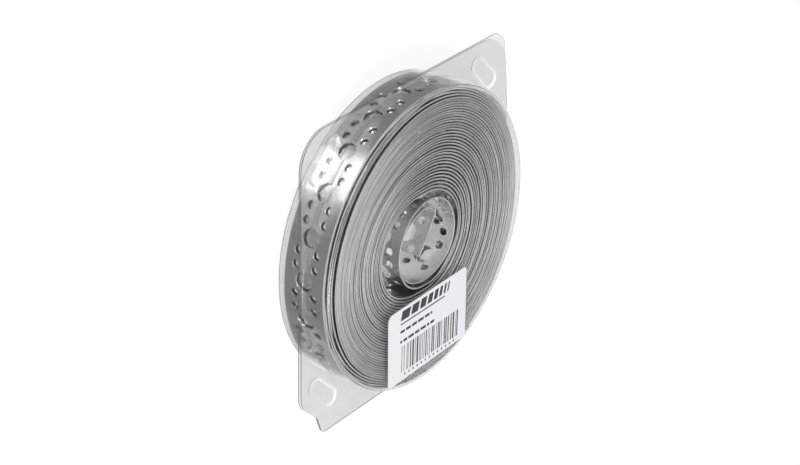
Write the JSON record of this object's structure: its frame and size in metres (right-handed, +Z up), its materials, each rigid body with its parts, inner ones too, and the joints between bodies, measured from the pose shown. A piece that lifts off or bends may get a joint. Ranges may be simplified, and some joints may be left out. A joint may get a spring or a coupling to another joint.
{
  "type": "perforated steel strap, coil in a clear clamshell",
  "caption": "Coil of perforated galvanised steel strap with a free inner loop, packed in a clear folded clamshell with snap bosses and a paper label.",
  "frame": {"origin": "on the coil's axis, at the outer face of the back cup, on which the pack lies", "axes": "+X along the label's lines, +Y from the fold to the far edge, +Z up out of the front cup's face"},
  "size_m": [0.1323, 0.136, 0.0255],
  "materials": {
    "galvanised_steel": "galvanised, satin",
    "clear_sheet": "clear thermoformed sheet",
    "label_paper": "coated label paper"
  },
  "bodies": {
    "pack": {"clamshell_back": "clear_sheet", "strap_coil": "galvanised_steel"},
    "lid": {"clamshell_front": "clear_sheet", "label": "label_paper"}
  },
  "joints": [
    {"name": "lid_fold", "type": "hinge", "parent": "pack", "child": "lid", "pos_m": [0, -0.07, 0.01265], "axis": [1, 0, 0], "range_deg": [0, 170]}
  ]
}
